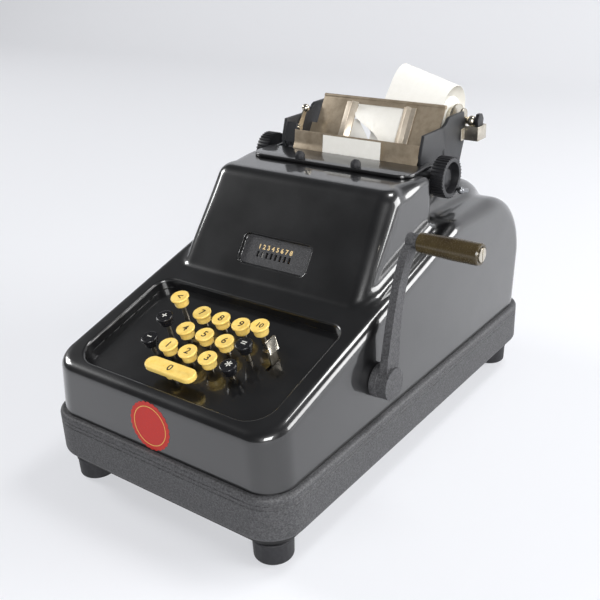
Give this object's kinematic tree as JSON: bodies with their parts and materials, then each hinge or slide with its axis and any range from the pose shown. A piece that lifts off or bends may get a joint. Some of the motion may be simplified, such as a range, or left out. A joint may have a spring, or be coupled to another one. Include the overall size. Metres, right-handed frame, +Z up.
{
  "type": "ten-key adding machine",
  "caption": "Hand-cranked adding machine with a sloping keyboard, a column indicator, a printing carriage and a paper roll.",
  "frame": {"origin": "on the table, midway between the four feet", "axes": "+X to the operator's right (the crank side), +Y to the rear, +Z up"},
  "size_m": [0.2832, 0.384, 0.275],
  "materials": {
    "gloss_enamel": "gloss black baked enamel",
    "wrinkle_black": "black wrinkle paint",
    "pan_black": "satin black",
    "plate_black": "semi-gloss black",
    "panel_grey": "grey crackle paint",
    "carriage_black": "matte black",
    "ivory_cap": "moulded yellow with dark numerals",
    "black_cap": "moulded black",
    "knob_black": "moulded black",
    "grip_olive": "polished dark olive brown",
    "foot_rubber": "black rubber",
    "platen_rubber": "hard rubber",
    "nickel": "nickel plate",
    "bronze": "toned brown sheet",
    "steel": "plain steel",
    "wheel_brass": "plain brass",
    "flag_white": "white paint",
    "paper": "plain paper"
  },
  "bodies": {
    "body": {"base_casting": "wrinkle_black", "bottom_pan": "pan_black", "feet": "foot_rubber", "foot_screws": "steel", "case_shell": "gloss_enamel", "key_plate": "plate_black", "indicator_panel": "panel_grey", "hood_plate": "gloss_enamel", "hood_bumpers": "foot_rubber", "crank_bearing": "wrinkle_black", "carriage_side_left": "carriage_black", "carriage_side_right": "carriage_black", "carriage_beam": "carriage_black", "tear_bar": "bronze", "paper_table": "bronze", "roll_arms": "nickel", "roll_spindle": "nickel", "spindle_clip": "nickel", "paper_strip": "paper", "frame_left": "steel", "frame_right": "steel", "frame_rods": "steel"},
    "key_0": {"key_0": "ivory_cap"},
    "key_1": {"key_1": "ivory_cap"},
    "key_2": {"key_2": "ivory_cap"},
    "key_3": {"key_3": "ivory_cap"},
    "key_4": {"key_4": "ivory_cap"},
    "key_5": {"key_5": "ivory_cap"},
    "key_6": {"key_6": "ivory_cap"},
    "key_7": {"key_7": "ivory_cap"},
    "key_8": {"key_8": "ivory_cap"},
    "key_9": {"key_9": "ivory_cap"},
    "key_ten": {"key_ten": "ivory_cap"},
    "key_back": {"key_back": "ivory_cap"},
    "key_black_a": {"key_black_a": "black_cap"},
    "key_black_b": {"key_black_b": "black_cap"},
    "key_black_c": {"key_black_c": "black_cap"},
    "key_black_d": {"key_black_d": "black_cap"},
    "repeat_lever": {"repeat_lever": "nickel"},
    "crank": {"crank_shaft": "steel", "crank_arm": "wrinkle_black", "grip_screw": "nickel", "drive_cam": "steel"},
    "grip": {"crank_grip": "grip_olive"},
    "platen": {"platen_roller": "platen_rubber", "platen_shaft": "steel", "knob_left": "knob_black", "knob_right": "knob_black"},
    "release_lever": {"release_lever": "steel"},
    "ball_lever": {"ball_lever": "nickel"},
    "clip_thumb": {"clip_thumb": "knob_black"},
    "paper_roll": {"paper_roll": "paper"},
    "paper_guide_left": {"paper_guide_left": "nickel"},
    "paper_guide_right": {"paper_guide_right": "nickel"},
    "type_sectors": {"type_sectors": "steel"},
    "adding_wheels": {"adding_wheels": "wheel_brass"},
    "ribbon_spool_left": {"ribbon_spool_left": "steel"},
    "ribbon_spool_right": {"ribbon_spool_right": "steel"},
    "selector": {"pin_basket": "steel", "column_flag": "flag_white"}
  },
  "joints": [
    {"name": "key_0_press", "type": "slide", "parent": "body", "child": "key_0", "axis": [0, 0.273, -0.962], "range_m": [0, 0.0042], "stiffness_N_per_m": 300, "springref_m": -0.002},
    {"name": "key_1_press", "type": "slide", "parent": "body", "child": "key_1", "axis": [0, 0.273, -0.962], "range_m": [0, 0.0042], "stiffness_N_per_m": 300, "springref_m": -0.002},
    {"name": "key_2_press", "type": "slide", "parent": "body", "child": "key_2", "axis": [0, 0.273, -0.962], "range_m": [0, 0.0042], "stiffness_N_per_m": 300, "springref_m": -0.002},
    {"name": "key_3_press", "type": "slide", "parent": "body", "child": "key_3", "axis": [0, 0.273, -0.962], "range_m": [0, 0.0042], "stiffness_N_per_m": 300, "springref_m": -0.002},
    {"name": "key_4_press", "type": "slide", "parent": "body", "child": "key_4", "axis": [0, 0.273, -0.962], "range_m": [0, 0.0042], "stiffness_N_per_m": 300, "springref_m": -0.002},
    {"name": "key_5_press", "type": "slide", "parent": "body", "child": "key_5", "axis": [0, 0.273, -0.962], "range_m": [0, 0.0042], "stiffness_N_per_m": 300, "springref_m": -0.002},
    {"name": "key_6_press", "type": "slide", "parent": "body", "child": "key_6", "axis": [0, 0.273, -0.962], "range_m": [0, 0.0042], "stiffness_N_per_m": 300, "springref_m": -0.002},
    {"name": "key_7_press", "type": "slide", "parent": "body", "child": "key_7", "axis": [0, 0.273, -0.962], "range_m": [0, 0.0042], "stiffness_N_per_m": 300, "springref_m": -0.002},
    {"name": "key_8_press", "type": "slide", "parent": "body", "child": "key_8", "axis": [0, 0.273, -0.962], "range_m": [0, 0.0042], "stiffness_N_per_m": 300, "springref_m": -0.002},
    {"name": "key_9_press", "type": "slide", "parent": "body", "child": "key_9", "axis": [0, 0.273, -0.962], "range_m": [0, 0.0042], "stiffness_N_per_m": 300, "springref_m": -0.002},
    {"name": "key_ten_press", "type": "slide", "parent": "body", "child": "key_ten", "axis": [0, 0.273, -0.962], "range_m": [0, 0.0042], "stiffness_N_per_m": 300, "springref_m": -0.002},
    {"name": "key_back_press", "type": "slide", "parent": "body", "child": "key_back", "axis": [0, 0.273, -0.962], "range_m": [0, 0.0042], "stiffness_N_per_m": 300, "springref_m": -0.002},
    {"name": "key_black_a_press", "type": "slide", "parent": "body", "child": "key_black_a", "axis": [0, 0.273, -0.962], "range_m": [0, 0.0042], "stiffness_N_per_m": 300, "springref_m": -0.002},
    {"name": "key_black_b_press", "type": "slide", "parent": "body", "child": "key_black_b", "axis": [0, 0.273, -0.962], "range_m": [0, 0.0042], "stiffness_N_per_m": 300, "springref_m": -0.002},
    {"name": "key_black_c_press", "type": "slide", "parent": "body", "child": "key_black_c", "axis": [0, 0.273, -0.962], "range_m": [0, 0.0042], "stiffness_N_per_m": 300, "springref_m": -0.002},
    {"name": "key_black_d_press", "type": "slide", "parent": "body", "child": "key_black_d", "axis": [0, 0.273, -0.962], "range_m": [0, 0.0042], "stiffness_N_per_m": 300, "springref_m": -0.002},
    {"name": "repeat_slide", "type": "slide", "parent": "body", "child": "repeat_lever", "axis": [0, -0.962, -0.273], "range_m": [0, 0.005]},
    {"name": "crank_pull", "type": "hinge", "parent": "body", "child": "crank", "pos_m": [0.1, -0.064, 0.0925], "axis": [1, 0, 0], "range_deg": [0, 80], "stiffness_Nm_per_rad": 0.5, "springref_deg": -34.38},
    {"name": "grip_turn", "type": "hinge", "parent": "crank", "child": "grip", "pos_m": [0.14, -0.03217, 0.19046], "axis": [1, 0, 0], "continuous": true},
    {"name": "platen_turn", "type": "hinge", "parent": "body", "child": "platen", "pos_m": [0, 0.0715, 0.2053], "axis": [1, 0, 0], "continuous": true},
    {"name": "release_tip", "type": "hinge", "parent": "body", "child": "release_lever", "pos_m": [0.071, 0.104, 0.196], "axis": [1, 0, 0], "range_deg": [0, 8], "stiffness_Nm_per_rad": 0.02, "springref_deg": -17.19},
    {"name": "ball_lever_tip", "type": "hinge", "parent": "body", "child": "ball_lever", "pos_m": [-0.0655, 0.084, 0.226], "axis": [1, 0, 0], "range_deg": [0, 25]},
    {"name": "clip_thumb_tip", "type": "hinge", "parent": "body", "child": "clip_thumb", "pos_m": [0.08, 0.143, 0.226], "axis": [1, 0, 0], "range_deg": [-10, 10]},
    {"name": "roll_turn", "type": "hinge", "parent": "body", "child": "paper_roll", "pos_m": [0.024, 0.143, 0.234], "axis": [1, 0, 0], "continuous": true},
    {"name": "guide_left_slide", "type": "slide", "parent": "body", "child": "paper_guide_left", "axis": [-1, 0, 0], "range_m": [0, 0.015]},
    {"name": "guide_right_slide", "type": "slide", "parent": "body", "child": "paper_guide_right", "axis": [1, 0, 0], "range_m": [0, 0.015]},
    {"name": "selector_step", "type": "slide", "parent": "body", "child": "selector", "axis": [1, 0, 0], "range_m": [0, 0.0308]},
    {"name": "sector_swing", "type": "hinge", "parent": "body", "child": "type_sectors", "pos_m": [-0.002, 0.02, 0.148], "axis": [1, 0, 0], "range_deg": [0, 33]},
    {"name": "wheel_advance", "type": "hinge", "parent": "body", "child": "adding_wheels", "pos_m": [-0.002, -0.009, 0.14], "axis": [1, 0, 0], "range_deg": [-72, 0]},
    {"name": "ribbon_left_turn", "type": "hinge", "parent": "body", "child": "ribbon_spool_left", "pos_m": [-0.052, 0.025, 0.196], "axis": [0, 0, 1], "continuous": true},
    {"name": "ribbon_right_turn", "type": "hinge", "parent": "body", "child": "ribbon_spool_right", "pos_m": [0.052, 0.025, 0.196], "axis": [0, 0, 1], "continuous": true}
  ],
  "couplings": [
    {"joint": "sector_swing", "follows": "crank_pull", "ratio": 0.4},
    {"joint": "wheel_advance", "follows": "crank_pull", "ratio": -0.88}
  ]
}
